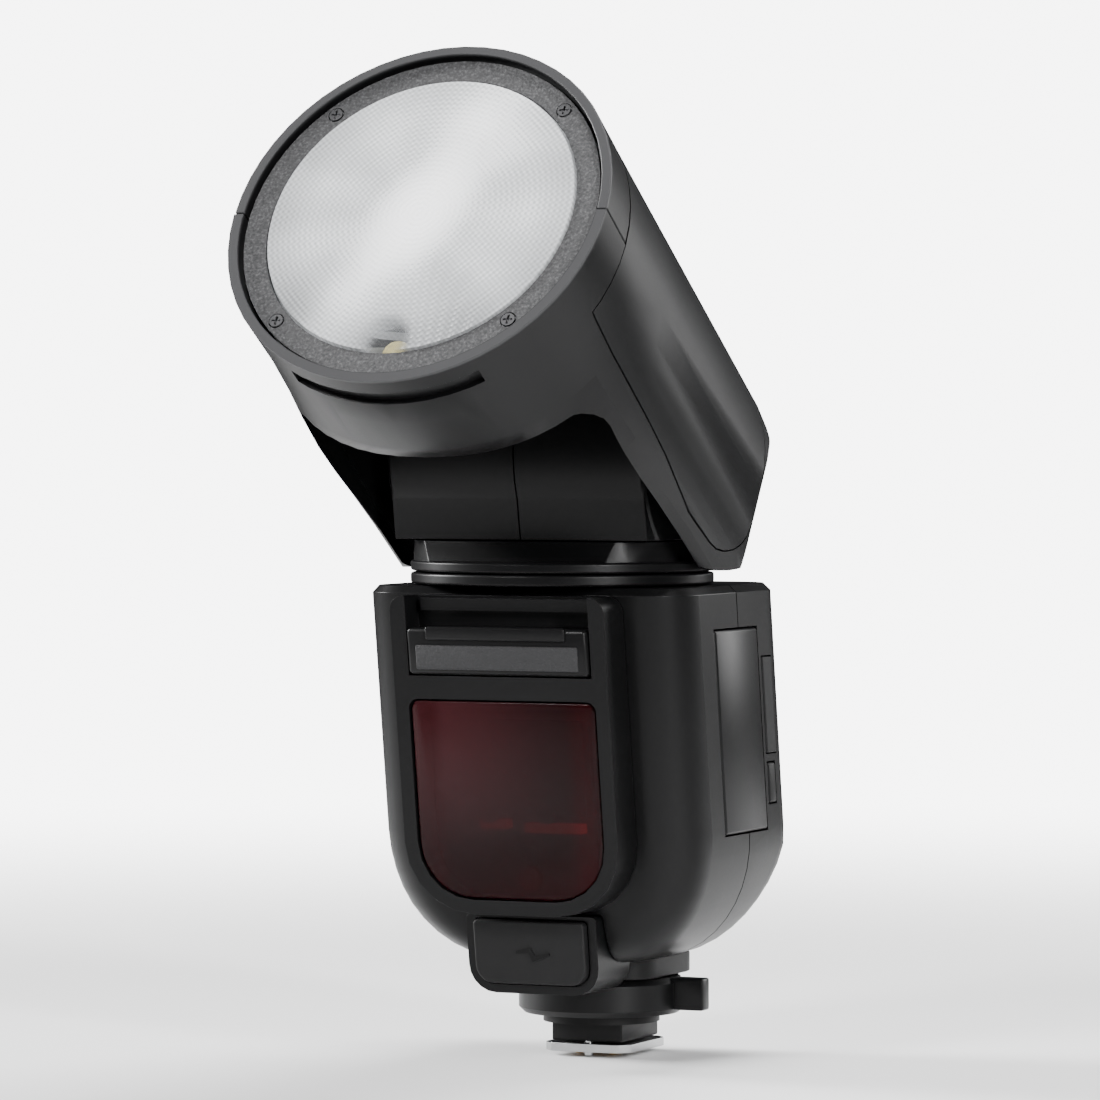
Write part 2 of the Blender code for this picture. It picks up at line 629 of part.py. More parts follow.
def headSection(q, inset=0.0):
    """The head's outline at a distance behind its front: round above, squarer and shallower below."""
    share = min(1.0, max(0.0, (q - 14) / 62))
    share = share * share * (3 - 2 * share)
    half = HEAD_RADIUS + (HEAD_SIDE - HEAD_RADIUS) * min(1.0, q / 40) - inset
    depth = HEAD_RADIUS + (REAR_BARREL + 3 - HEAD_RADIUS) * share - inset
    power = 2 / (2 + 2.2 * share)
    ring = []
    for i in range(56):
        turn = math.tau * i / 56
        c, s = math.cos(turn), math.sin(turn)
        if s >= 0:
            ring.append((half * c, q, (HEAD_RADIUS - inset) * s))
        else:
            ring.append((math.copysign(half * abs(c) ** power, c), q, -depth * abs(s) ** power))
    return ring


def headLoft(name, start, end, inset=0.0):
    stations = [start, 6, 14, 24, 34, 44, 54, 64, 76, end]
    return loft(name, [headSection(q, inset) for q in stations if start <= q <= end])


def mouthOutline(margin=0.0):
    """The pocket that the neck works in, seen from the side, in (distance back, height)."""
    sweep = arc(HEAD_REACH, 0, NECK_RADIUS + 1 + margin, 165, 92, 12)
    front = [(MOUTH_START - margin, -60), (MOUTH_START + 0.5 - margin, -24 + margin), (42, -6 + 1.6 * margin)]
    return front + sweep + [(HEAD_REACH - 2, 60), (140, 60), (140, -60)]


def rearOutline():
    """The head's side view: flat top, a slope at the back and the round barrel below it."""
    slope = arc(HEAD_REACH, 0, REAR_BARREL, 30, -90, 20)
    along = math.radians(120)
    rise = (HEAD_RADIUS + 1 - slope[0][1]) / math.sin(along)
    crest = (slope[0][0] + rise * math.cos(along), HEAD_RADIUS + 1)
    return [(-10, 60), (-10, -60), (20, -60), (58, -34)] + slope[::-1] + [crest, (crest[0] - 6, 60)]


SEAM_FRONT = -15.0
SEAM_KNEE = 72.0
SEAM_REAR = -20.0
SEAM_BEND = (84.0, -9.0, 10.5)


def seamRegions():
    """The parting lines between the lower shell, the upper shell and the front band, seen from the side."""
    half = GAP / 2
    q, w, radius = SEAM_BEND
    lower = [(-10, -60), (-10, -half), (BAND_LENGTH - half, -half)]
    lower += [(BAND_LENGTH - half, SEAM_FRONT - half), (SEAM_KNEE - half, SEAM_REAR - half)]
    lower += arc(q, w, radius + half, -90, 0, 6) + [(q + radius + half, 60), (140, 60), (140, -60)]
    upper = [(BAND_LENGTH + half, 60), (BAND_LENGTH + half, SEAM_FRONT + half), (SEAM_KNEE, SEAM_REAR + half)]
    upper += arc(q, w, radius - half, -90, 0, 6) + [(q + radius - half, 60)]
    band = [(-10, half), (BAND_LENGTH - half, half), (BAND_LENGTH - half, 60), (-10, 60)]
    return {"head_lower_shell": lower, "head_upper_shell": upper, "front_band": band}


def buildHeadShells(looks):
    outer = headLoft("headOuter", 0.0, 112.0)
    side = prism("headSide", rearOutline(), -60, 60, "X")
    reach = HEAD_REACH + REAR_BARREL
    plan = prism(
        "headPlan",
        rounded(-HEAD_SIDE - 1, -10, HEAD_SIDE + 1, reach + 0.5, (1, 1, REAR_EDGE_RADIUS, REAR_EDGE_RADIUS), 7),
        -60, 60,
    )
    boolean(boolean(outer, side, "INTERSECT"), plan, "INTERSECT")
    mouth = prism("mouth", mouthOutline(), -80, 80, "X")
    corners = (MOUTH_CORNER, MOUTH_CORNER, 1, 1)
    across = prism("across", rounded(-MOUTH_HALF, MOUTH_START - 3, MOUTH_HALF, 160, corners, 7), -80, 80)
    boolean(mouth, across, "INTERSECT")
    inner = headLoft("headInner", -5.0, CAVITY_END, WALL)
    wallSide = prism("wallSide", mouthOutline(WALL), -80, 80, "X")
    cut(inner, wallSide)
    cut(outer, mouth, inner)
    recess = cylinder("ringRecess", RING_OUTER + GAP, -5, RING_DEPTH + 2.6, "Y", sides=56)
    axle = cylinder(
        "hubBore", TRUNNION_RADIUS + GAP, -TRUNNION_END - GAP, TRUNNION_END + GAP, "X", (0, HEAD_REACH, 0), 24
    )
    cut(outer, recess, axle)
    slot = prism("underSlot", slotOutline(), 4, 7.6, "Y")
    cut(outer, slot)
    for name, outline in seamRegions().items():
        region = prism(name + "Region", outline, -80, 80, "X")
        finish(onHead(within(outer, region, name + "Cut")), name, looks["shell"], TILT_POINT)
    for sign, name in ((-1, "tilt_hub_left"), (1, "tilt_hub_right")):
        low, high = sorted((sign * (NECK_HALF + GAP), sign * (MOUTH_HALF - GAP)))
        hub = cylinder(name, HUB_RADIUS, low, high, "X", (0, HEAD_REACH, 0), 28)
        finish(onHead(cut(hub, axle)), name, looks["steel"], TILT_POINT)


def slotOutline():
    """A shallow arc-shaped groove across the lower front."""
    return arc(0, 0, HEAD_RADIUS + 2, -120, -60, 14) + arc(0, 0, HEAD_RADIUS - 1.1, -60, -120, 14)


def onHead(obj):
    """Carries a piece from the head's own frame (across, back from the front, up) to its place."""
    return transform(obj, HEAD_PLACE)


def buildHeadFront(looks):
    lens = cylinder("lens", RING_OUTER, RING_DEPTH + 1.7, RING_DEPTH + 3.2, "Y", sides=56)
    dome = cylinder("dome", RING_INNER - GAP - 0.8, 0.5, RING_DEPTH + 2, "Y", sides=56, tip=RING_INNER - GAP)
    finish(onHead(join(lens, dome)), "front_lens", looks["lens"], TILT_POINT)
    ring = cylinder("ringFace", RING_OUTER, RING_DEPTH, RING_DEPTH + 1.4, "Y", sides=56)
    cut(ring, cylinder("ringHole", RING_INNER, -5, 9, "Y", sides=56))
    spots = [
        (SCREW_CIRCLE * math.cos(math.radians(turn)), SCREW_CIRCLE * math.sin(math.radians(turn)))
        for turn in (45, 135, 225, 315)
    ]
    for i, (x, w) in enumerate(spots, start=1):
        sink = cylinder("screwSink", SCREW_HEAD_RADIUS + 0.25, -5, 9, "Y", (x, 0, w), 16)
        cut(ring, sink)
        head = cylinder("screwHead", SCREW_HEAD_RADIUS, RING_DEPTH - 0.1, RING_DEPTH + 1.4, "Y", (x, 0, w), 16)
        for size in ((0.95, 0.22), (0.22, 0.95)):
            low = (x - size[0], -5, w - size[1])
            cut(head, box("cross", low, (x + size[0], RING_DEPTH + 0.5, w + size[1])))
        finish(onHead(head), "ring_screw_%d" % i, looks["steel"], TILT_POINT)
    finish(onHead(ring), "front_ring", looks["ring"], TILT_POINT)

    lamp = cylinder("lampDome", 2.6, 5.2, 8.6, "Y", (0, 0, -27.5), 20, tip=3.1, bevel=0.6)
    finish(onHead(lamp), "modelling_lamp", looks["lamp"], TILT_POINT)
    board = box("ledBoard", (-9, 8.9, -31.5), (9, 10.3, -24.5))
    foot = box("ledFoot", (-6, 8.9, -35.4), (6, 12, -31.0))
    finish(onHead(join(board, foot)), "led_board", looks["board"], TILT_POINT)


ZOOM_TRAVEL = 10.0


def buildZoom(looks):
    r = REFLECTOR_RADIUS
    front = REFLECTOR_FRONT
    back = front + REFLECTOR_LENGTH
    bowl = cylinder("bowl", r, front, back, "Y", sides=32, tip=5)
    cup = cylinder("cup", r - 0.9, front - 1, back - 1.2, "Y", sides=32, tip=4.4)
    tubeHole = cylinder("tubeHole", 2.2 + GAP, -28, 29, "X", (0, back - 7, 0), 18)
    finish(onHead(cut(bowl, cup, tubeHole)), "reflector", looks["mirror"], TILT_POINT)
    tube = cylinder("tube", 2.2, -15, 15, "X", (0, back - 7, 0), 20, bevel=0.4)
    finish(onHead(tube), "flash_tube", looks["glass"], TILT_POINT)
    outline = [(-7, -1.5), (7, -1.5), (22, 16), (22, 26), (14, 26), (-7, 8)]
    plate = prism("carriagePlate", outline, back + GAP, back + GAP + 2, "Y")
    nut = cylinder("nut", 3.2, back - 5, back + 1, "Y", (ZOOM_SCREW_X, 0, ZOOM_SCREW_W), 24)
    thread = cylinder("thread", 1.5 + GAP, -20, 80, "Y", (ZOOM_SCREW_X, 0, ZOOM_SCREW_W), 24)
    finish(onHead(cut(join(plate, nut), thread)), "zoom_carriage", looks["bezel"], TILT_POINT)

    rail = back + GAP + 2 + ZOOM_TRAVEL + 0.6
    disc = cylinder("chassisDisc", HEAD_SIDE - WALL - 0.5, rail, rail + 1.6, "Y", sides=48)
    below = box("belowChassis", (-60, 0, -60), (60, 90, 0.6))
    shaft = cylinder("shaftHole", 1.5 + GAP, -20, 80, "Y", (ZOOM_SCREW_X, 0, ZOOM_SCREW_W), 24)
    finish(onHead(cut(disc, below, shaft)), "head_chassis", looks["steel"], TILT_POINT)
    screw = cylinder("screwRod", 1.5, front + 6, rail + 1.9, "Y", (ZOOM_SCREW_X, 0, ZOOM_SCREW_W), 20)
    finish(onHead(screw), "zoom_screw", looks["steel"], headPoint(ZOOM_SCREW_X, rail, ZOOM_SCREW_W))
    motor = cylinder("motor", 4.6, rail + 2.2, rail + 8, "Y", (ZOOM_SCREW_X, 0, ZOOM_SCREW_W), 28, bevel=0.4)
    finish(onHead(motor), "zoom_motor", looks["can"], TILT_POINT)


def headPoint(x, q, w):
    return (HEAD_PLACE @ (Vector((x, q, w)) * MM)) / MM


def buildLooks():
    return {
        "shell": material("satin_black", (0.022, 0.022, 0.024), 0.42),
        "bezel": material("matte_black", (0.016, 0.016, 0.017), 0.55),
        "rubber": material("black_rubber", (0.02, 0.02, 0.021), 0.7),
        "key": material("grey_key", (0.05, 0.05, 0.055), 0.5),
        "ring": material("grey_ring", (0.09, 0.09, 0.095), 0.75),
        "red": material("dark_red", (0.16, 0.01, 0.015), 0.12, alpha=0.7),
        "board": material("green_board", (0.02, 0.09, 0.04), 0.5),
        "glass": material("clear_glass", (0.7, 0.75, 0.78), 0.05, alpha=0.35),
        "screen": material("grey_screen", (0.12, 0.16, 0.13), 0.3),
        "lens": material("frosted_lens", (0.9, 0.91, 0.92), 0.25, alpha=0.75),
        "lamp": material("yellow_lamp", (0.85, 0.78, 0.4), 0.3),
        "mirror": material("mirror_metal", (0.85, 0.86, 0.88), 0.08, 1.0),
        "chrome": material("chromed_steel", (0.75, 0.76, 0.78), 0.15, 1.0),
        "steel": material("zinc_steel", (0.35, 0.35, 0.37), 0.35, 1.0),
        "brass": material("gold_contact", (0.8, 0.62, 0.3), 0.25, 1.0),
        "copper": material("copper_winding", (0.5, 0.26, 0.12), 0.4, 0.6),
        "can": material("capacitor_can", (0.05, 0.06, 0.09), 0.35),
    }


def main():
    global parts, cutters
    clearScene()
    parts = addCollection("speedlight_flash")
    cutters = addCollection("cutters")
    looks = buildLooks()
    for build in (
        buildBody, buildFront, buildPowerPort, buildSide, buildRear, buildInside,
        buildFoot, buildSwivel, buildHeadShells, buildHeadFront, buildZoom,
    ):
        build(looks)


main()
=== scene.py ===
import json
import math

import bmesh
import bpy
from mathutils import Matrix, Vector


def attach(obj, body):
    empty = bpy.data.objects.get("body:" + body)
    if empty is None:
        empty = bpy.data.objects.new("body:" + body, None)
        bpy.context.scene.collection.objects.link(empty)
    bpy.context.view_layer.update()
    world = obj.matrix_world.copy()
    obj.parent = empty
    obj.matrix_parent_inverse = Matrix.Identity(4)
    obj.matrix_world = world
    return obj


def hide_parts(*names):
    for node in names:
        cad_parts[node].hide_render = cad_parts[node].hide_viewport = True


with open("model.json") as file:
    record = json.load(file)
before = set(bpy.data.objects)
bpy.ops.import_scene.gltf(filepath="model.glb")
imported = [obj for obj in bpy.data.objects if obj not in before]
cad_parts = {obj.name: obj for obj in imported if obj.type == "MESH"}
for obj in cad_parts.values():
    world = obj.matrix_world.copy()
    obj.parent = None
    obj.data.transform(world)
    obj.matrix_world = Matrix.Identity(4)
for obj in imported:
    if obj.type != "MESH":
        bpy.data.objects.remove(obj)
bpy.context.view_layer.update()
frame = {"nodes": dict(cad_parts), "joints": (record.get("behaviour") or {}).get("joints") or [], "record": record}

mm = 0.001
record = frame["record"]
bodyOf = {node: body for body, nodes in record["behaviour"]["bodies"].items() for node in nodes}
jointOf = {joint["name"]: joint for joint in frame["joints"]}
mountOf = {mount["name"]: mount for mount in record["mounts"]}


# shader maths as expressions

class Wire:
    def __init__(self, look, socket):
        self.look = look
        self.socket = socket

    def math(self, operation, *values):
        return self.look.node("ShaderNodeMath", {"operation": operation}, dict(enumerate(values)))

    def __truediv__(self, other):
        return self.math("DIVIDE", self, other)

    def __add__(self, other):
        return self.math("ADD", self, other)

    def __radd__(self, other):
        return self.math("ADD", other, self)

    def __sub__(self, other):
        return self.math("SUBTRACT", self, other)

    def __rsub__(self, other):
        return self.math("SUBTRACT", other, self)

    def __mul__(self, other):
        return self.math("MULTIPLY", self, other)

    def __rmul__(self, other):
        return self.math("MULTIPLY", other, self)

    def power(self, other):
        return self.math("POWER", self, other)

    def absolute(self):
        return self.math("ABSOLUTE", self)

    def sine(self):
        return self.math("SINE", self)

    def smooth(self, low, high):  # 0 below low, 1 above high
        settings = {"interpolation_type": "SMOOTHSTEP"}
        values = {"Value": self, "From Min": low, "From Max": high}
        return self.look.node("ShaderNodeMapRange", settings, values)


class Look:
    def __init__(self, name):
        self.material = bpy.data.materials.new(name)
        self.material.use_nodes = True
        self.tree = self.material.node_tree
        self.shader = self.tree.nodes["Principled BSDF"]

    def node(self, kind, settings=None, values=None, out=0):
        made = self.tree.nodes.new(kind)
        for key, value in (settings or {}).items():
            if key == "stops":
                self.stops(made.color_ramp, value)
            else:
                setattr(made, key, value)
        for key, value in (values or {}).items():
            self.feed(made.inputs[key], value)
        return Wire(self, made.outputs[out])

    def math(self, operation, *values):
        return self.node("ShaderNodeMath", {"operation": operation}, dict(enumerate(values)))

    def stops(self, ramp, stops):
        while len(ramp.elements) < len(stops):
            ramp.elements.new(0.5)
        for element, (place, color) in zip(ramp.elements, stops):
            element.position = place
            element.color = (*color, 1)

    def feed(self, socket, value):
        if isinstance(value, Wire):
            self.tree.links.new(value.socket, socket)
        elif socket.type == "RGBA" and len(value) == 3:
            socket.default_value = (*value, 1)
        else:
            socket.default_value = value

    def set(self, **values):
        for key, value in values.items():
            self.feed(self.shader.inputs[key.replace("_", " ")], value)
        return self

    def place(self, centre=(0, 0, 0), turn=(0, 0, 0)):
        spot = self.node("ShaderNodeTexCoord", out="Object")
        settings = {"vector_type": "TEXTURE"}
        values = {"Vector": spot, "Location": centre, "Rotation": turn}
        return self.node("ShaderNodeMapping", settings, values)

    def noise(self, where, scale, detail=3.0, roughness=0.55):
        values = {"Vector": where, "Scale": scale, "Detail": detail, "Roughness": roughness}
        return self.node("ShaderNodeTexNoise", {}, values)

    def mix(self, share, first, second, blend="MIX"):
        values = {0: share, 6: first, 7: second}
        return self.node("ShaderNodeMix", {"data_type": "RGBA", "blend_type": blend}, values, out=2)

    def parts(self, where):
        split = self.tree.nodes.new("ShaderNodeSeparateXYZ")
        self.feed(split.inputs[0], where)
        return [Wire(self, socket) for socket in split.outputs]

    def bump(self, height, strength, distance):
        values = {"Height": height, "Strength": strength, "Distance": distance}
        return self.set(Normal=self.node("ShaderNodeBump", {}, values))


def mouldedPlastic(name, color, roughness, grain=2600.0, depth=0.00003, strength=0.25, coat=0.0):
    look = Look(name)
    where = look.place()
    fine = look.noise(where, grain, 2.0)
    broad = look.noise(where, 45.0, 4.0)
    rubbed = look.noise(where, 240.0, 5.0, 0.7).smooth(0.52, 0.75)
    lighter = tuple(min(1.0, c * 1.35 + 0.002) for c in color)
    look.set(
        Base_Color=look.mix(broad, color, lighter),
        Roughness=roughness + (broad - 0.5) * 0.07 + (fine - 0.5) * 0.06 - rubbed * 0.025,
        Coat_Weight=coat,
        Coat_Roughness=0.3,
        Specular_IOR_Level=0.16,
    )
    return look.bump(fine, strength, depth).material


ringAxis = Vector(mountOf["head_ring_face"]["axis"])  # out of the lens
tiltPoint = Vector(jointOf["head_tilt"]["pos_m"])
headReach = 81.0 * mm  # from the tilt axis to the rim's face
headTurn = Vector((0, -1, 0)).rotation_difference(ringAxis)
headPlace = Matrix.Translation(tiltPoint + ringAxis * headReach) @ headTurn.to_matrix().to_4x4()
headSpin = headTurn.to_euler()
bodyLean = 0.155  # how far the leaning body moves forward for each unit of height
leanTurn = math.atan(bodyLean)


def headShell():  # satin black, with a paler, coarser face on the rim round the lens
    look = Look("headShell")
    where = look.place()
    fine = look.noise(where, 2600.0, 2.0)
    broad = look.noise(where, 45.0, 4.0)
    x, y, z = look.parts(look.place(headPlace.translation, headSpin))
    radius = (x * x + z * z).power(0.5)
    rim = (1 - y.smooth(0.2 * mm, 0.9 * mm)) * radius.smooth(35.8 * mm, 36.2 * mm)
    black = look.mix(broad, (0.0024, 0.0024, 0.0026), (0.005, 0.005, 0.0055))
    look.set(
        Base_Color=look.mix(rim, black, (0.05, 0.05, 0.052)),
        Roughness=0.36 + (broad - 0.5) * 0.07 + (fine - 0.5) * 0.06 + rim * 0.12,
        Specular_IOR_Level=0.16,
    )
    return look.bump(fine, 0.25, 0.00003).material


def speckledRing():
    look = Look("speckledRing")
    where = look.place()
    grains = look.node("ShaderNodeTexVoronoi", {}, {"Vector": where, "Scale": 1500.0})
    noise = look.noise(where, 1900.0, 3.0)
    height = noise + grains * 0.6
    stops = [(0.3, (0.016, 0.016, 0.017)), (0.55, (0.046, 0.046, 0.048)), (0.8, (0.12, 0.12, 0.123))]
    color = look.node("ShaderNodeValToRGB", {"stops": stops}, {"Fac": noise})
    look.set(Base_Color=color, Roughness=0.62 + (noise - 0.5) * 0.3)
    return look.bump(height, 0.9, 0.00014).material


def metal(name, color, roughness, brushed=0.0):
    look = Look(name)
    where = look.place()
    streak = look.node("ShaderNodeMapping", {}, {"Vector": where, "Scale": (1.0, 12.0, 12.0)})
    lines = look.noise(streak, 700.0, 4.0)
    smudge = look.noise(where, 160.0, 4.0)
    darker = tuple(c * 0.78 for c in color)
    look.set(
        Base_Color=look.mix(smudge, color, darker),
        Metallic=1.0,
        Roughness=roughness + lines * brushed + (smudge - 0.5) * 0.06,
    )
    return look.bump(lines, 0.12 + brushed, 0.00002).material


def rubber(name, color):
    look = Look(name)
    where = look.place()
    fine = look.noise(where, 3400.0, 2.0)
    dust = look.noise(where, 90.0, 6.0, 0.7).smooth(0.5, 0.8)
    look.set(
        Base_Color=look.mix(dust * 0.5, color, tuple(c * 1.8 for c in color)),
        Roughness=0.62 + dust * 0.1,
        Specular_IOR_Level=0.2,
    )
    return look.bump(fine, 0.35, 0.00004).material


lensPattern = {
    "ringPitch": 1.1 * mm, "gridPitch": 1.25 * mm, "paintedStreakSine": 0.42, "paintedStreakCosine": 0.91,
    "paintedStreakWidth": 12.0 * mm, "core": 21.0 * mm, "edge": 30.5 * mm, "lampDrop": 27.5 * mm,
}


def lensGlass():
    look = Look("prismLens")
    x, y, z = look.parts(look.place(headPlace.translation, headSpin))
    radius = (x * x + z * z).power(0.5)
    rings = (radius * (math.tau / lensPattern["ringPitch"])).sine()
    columns = (x * (math.tau / lensPattern["gridPitch"])).sine()
    rows = (z * (math.tau / lensPattern["gridPitch"])).sine()
    prisms = columns * rows
    height = rings * 0.5 + prisms * 0.5
    cloud = look.noise(look.place(), 60.0, 3.0)
    sine, cosine = lensPattern["paintedStreakSine"], lensPattern["paintedStreakCosine"]
    along = x * sine + z * cosine  # the painted reflection of the tube, a streak across the reflector, which also brightens the lens along it
    across = x * cosine - z * sine
    # streak masks a painted reflection of the tube
    streak = 1 - across.absolute().smooth(0.0, lensPattern["paintedStreakWidth"])
    # a painted glow, brightest in the middle of the lens
    core = 1 - (radius + across.absolute() * 0.7).smooth(1.0 * mm, lensPattern["core"])
    spokes = (look.math("ARCTAN2", z, x) * 9.0 + cloud * 3.0).sine() * radius.smooth(6.0 * mm, 22.0 * mm)
    # low is painted shade towards the bottom of the lens
    low = (0 - z).smooth(6.0 * mm, 30.0 * mm)
    # edge is painted shade towards the rim of the lens
    edge = radius.smooth(lensPattern["core"], lensPattern["edge"])
    # the lens tone mixes random cloud with the painted reflection, the painted glow and the painted shade
    share = cloud * 0.2 + streak * 0.22 + core * 0.36 - low * 0.1 - edge * 0.12 + along * 2.2
    share = share + rings * 0.035 + prisms * 0.1 + spokes * 0.035 + 0.22
    stops = [
        (0.0, (0.2, 0.205, 0.21)), (0.3, (0.42, 0.43, 0.44)),
        (0.55, (0.74, 0.75, 0.76)), (0.85, (0.97, 0.97, 0.98)),
    ]
    color = look.node("ShaderNodeValToRGB", {"stops": stops}, {"Fac": share})
    aboveLamp = z + lensPattern["lampDrop"]
    lampDistance = (x * x + aboveLamp * aboveLamp).power(0.5)
    look.set(
        Base_Color=color,
        Roughness=0.22 + cloud * 0.08,
        Alpha=0.1 + lampDistance.smooth(3.2 * mm, 6.2 * mm) * 0.86,
        IOR=1.49,
        Coat_Weight=0.3,
        Coat_Roughness=0.08,
        # the lens is no lamp: this emission is painted light that keeps it bright whatever the lamps do
        Emission_Color=color,
        Emission_Strength=0.75,
    )
    return look.bump(height, 0.5, 0.00012).material


def redWindow():  # dark smoky red, with a painted reflection that makes it paler at the upper left; red at the sides and the bottom
    look = Look("redWindow")
    x, y, z = look.parts(look.place())
    cloud = look.noise(look.place(), 55.0, 2.0)
    side = x.absolute()
    border = side.smooth(12.5 * mm, 15.0 * mm) * (1 - side.smooth(16.5 * mm, 19.5 * mm))
    lower = 1 - z.smooth(31.0 * mm, 46.0 * mm)
    right = x.smooth(8.0 * mm, 19.5 * mm)
    # haze masks a painted reflection, paler towards the upper left
    haze = z.smooth(34.0 * mm, 64.0 * mm) * (1 - x.smooth(-18.0 * mm, 19.5 * mm)) * 0.85 + cloud * 0.1
    red = border * 0.35 + lower * 0.45 + right * 0.35 + cloud * 0.1
    smokeAndPaintedReflection = look.mix(haze, (0.0022, 0.0005, 0.0007), (0.04, 0.012, 0.014))
    look.set(
        Base_Color=look.mix(red, smokeAndPaintedReflection, (0.016, 0.0004, 0.0011)),
        Roughness=0.1 + cloud * 0.04,
        Alpha=0.9 + haze * 0.06 - red * 0.06,
        Specular_IOR_Level=0.12,
        Coat_Weight=0.02,
        Coat_Roughness=0.04,
    )
    return look.bump(cloud, 0.05, 0.0001).material


def glowing(name, color, strength):
    look = Look(name)
    cloud = look.noise(look.place(), 700.0, 3.0)
    darker = tuple(c * 0.6 for c in color)
    tint = look.mix(cloud, color, darker)
    look.set(
        Base_Color=tint,
        Roughness=0.25 + cloud * 0.1,
        Emission_Color=tint,
        Emission_Strength=strength,
    )
    return look.bump(cloud, 0.1, 0.00003).material


def circuitBoard():
    look = Look("circuitBoard")
    where = look.place()
    values = {"Vector": where, "Scale": 320.0, "Mortar Size": 0.06}
    tracks = look.node("ShaderNodeTexBrick", {"offset": 0.5}, values)
    blotch = look.noise(where, 300.0, 3.0)
    color = look.mix(tracks, (0.006, 0.035, 0.016), (0.012, 0.075, 0.03))
    look.set(Base_Color=look.mix(blotch * 0.4, color, (0.02, 0.05, 0.03)), Roughness=0.4 + blotch * 0.15)
    return look.bump(tracks, 0.3, 0.00004).material


def clearCover():
    look = Look("clearCover")
    haze = look.noise(look.place(), 130.0, 4.0)
    look.set(
        Base_Color=look.mix(haze, (0.03, 0.032, 0.035), (0.05, 0.053, 0.056)),
        Roughness=0.06 + haze * 0.06,
        Alpha=0.34 + haze * 0.04,
        Coat_Weight=0.6,
        Coat_Roughness=0.03,
    )
    return look.bump(haze, 0.03, 0.0001).material


def crystalPanel():
    look = Look("crystalPanel")
    where = look.place()
    dots = look.node("ShaderNodeTexVoronoi", {}, {"Vector": where, "Scale": 2200.0})
    cloud = look.noise(where, 70.0, 2.0)
    color = look.mix(cloud, (0.17, 0.2, 0.15), (0.24, 0.27, 0.2))
    look.set(Base_Color=look.mix(dots * 0.2, color, (0.1, 0.12, 0.09)), Roughness=0.35 + cloud * 0.1)
    return look.bump(dots, 0.05, 0.00002).material


print("materials")
looks = {
    "satinBlack": mouldedPlastic("satinBlack", (0.0024, 0.0024, 0.0026), 0.36),
    "matteBlack": mouldedPlastic("matteBlack", (0.002, 0.002, 0.0021), 0.5),
    "keyGrey": mouldedPlastic("keyGrey", (0.035, 0.035, 0.038), 0.48),
    "texturedStrip": mouldedPlastic("texturedStrip", (0.024, 0.024, 0.025), 0.6, 1500.0, 0.0003, 1.0),
    "headShell": headShell(),
    "ring": speckledRing(),
    "rubber": rubber("blackRubber", (0.007, 0.007, 0.0073)),
    "chrome": metal("chromedFoot", (0.5, 0.505, 0.51), 0.2, 0.05),
    "zinc": metal("zincSteel", (0.3, 0.3, 0.31), 0.3, 0.15),
    "darkSteel": metal("blackenedScrew", (0.34, 0.34, 0.35), 0.32, 0.05),
    "gold": metal("goldContact", (0.82, 0.6, 0.3), 0.2, 0.05),
    "copper": metal("copperWinding", (0.55, 0.28, 0.14), 0.4, 0.2),
    "mirror": metal("reflectorMetal", (0.88, 0.89, 0.9), 0.12, 0.02),
    "can": mouldedPlastic("capacitorSleeve", (0.02, 0.025, 0.05), 0.3),
    "lens": lensGlass(),
    "red": redWindow(),
    "board": circuitBoard(),
    "paleBoard": mouldedPlastic("paleBoard", (0.6, 0.6, 0.58), 0.4),
    "clear": clearCover(),
    "screen": crystalPanel(),
    "yellow": glowing("phosphorYellow", (0.85, 0.74, 0.32), 0.25),
    "redGlow": glowing("redLamp", (0.5, 0.006, 0.01), 0.8),
    # the red bars are red plastic, no lamp: their emission is a painted glow
    "redDim": glowing("redBar", (0.9, 0.01, 0.015), 4.0),
}


# making pieces

def show(bm, name, look, body, replaced=(), smooth=32):
    bmesh.ops.recalc_face_normals(bm, faces=bm.faces)
    mesh = bpy.data.meshes.new(name)
    bm.to_mesh(mesh)
    bm.free()
    mesh.shade_smooth()
    mesh.set_sharp_from_angle(angle=math.radians(smooth))
    piece = bpy.data.objects.new(name, mesh)
    bpy.context.scene.collection.objects.link(piece)
    piece.data.materials.append(looks[look])
    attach(piece, body)
    if replaced:
        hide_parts(*replaced)
    return piece


def softenEdges(piece, width, segments=2, angle=28):
    rounding = piece.modifiers.new("softEdges", "BEVEL")
    rounding.width = width
    rounding.segments = segments
    rounding.limit_method = "ANGLE"
    rounding.angle_limit = math.radians(angle)
    rounding.harden_normals = True
    rounding.use_clamp_overlap = True
    return piece


def skin(node, look, width, angle=28):  # a smooth, edge-rounded copy of a CAD node
    bm = bmesh.new()
    bm.from_mesh(frame["nodes"][node].data)
    bmesh.ops.remove_doubles(bm, verts=bm.verts, dist=0.002 * mm)
    bmesh.ops.dissolve_limit(bm, angle_limit=math.radians(1.2), verts=bm.verts, edges=bm.edges)
    name = "".join(word.capitalize() for word in node.split("_")) + "Skin"
    piece = show(bm, name[0].lower() + name[1:], look, bodyOf[node], (node,))
    return softenEdges(piece, width, 2, angle) if width else piece


def block(bm, low, high, bevel=0.0, segments=2):
    made = bmesh.ops.create_cube(bm, size=1.0)["verts"]
    size = Vector(high) - Vector(low)
    middle = (Vector(high) + Vector(low)) / 2
    bmesh.ops.scale(bm, vec=size, verts=made)
    bmesh.ops.translate(bm, vec=middle, verts=made)
    if bevel:
        edges = list({edge for vert in made for edge in vert.link_edges})
        bmesh.ops.bevel(
            bm, geom=edges, offset=bevel, segments=segments, profile=0.5, affect="EDGES", material=-1
        )


def turned(bm, profile, steps=96):  # a profile of (radius, depth) spun about the Y axis
    verts = [bm.verts.new((radius, depth, 0)) for radius, depth in profile]
    edges = [bm.edges.new(pair) for pair in zip(verts, verts[1:])]
    bmesh.ops.spin(
        bm, geom=verts + edges, cent=(0, 0, 0), axis=(0, 1, 0), angle=math.tau, steps=steps, use_merge=True
    )
    bmesh.ops.remove_doubles(bm, verts=bm.verts, dist=0.001 * mm)


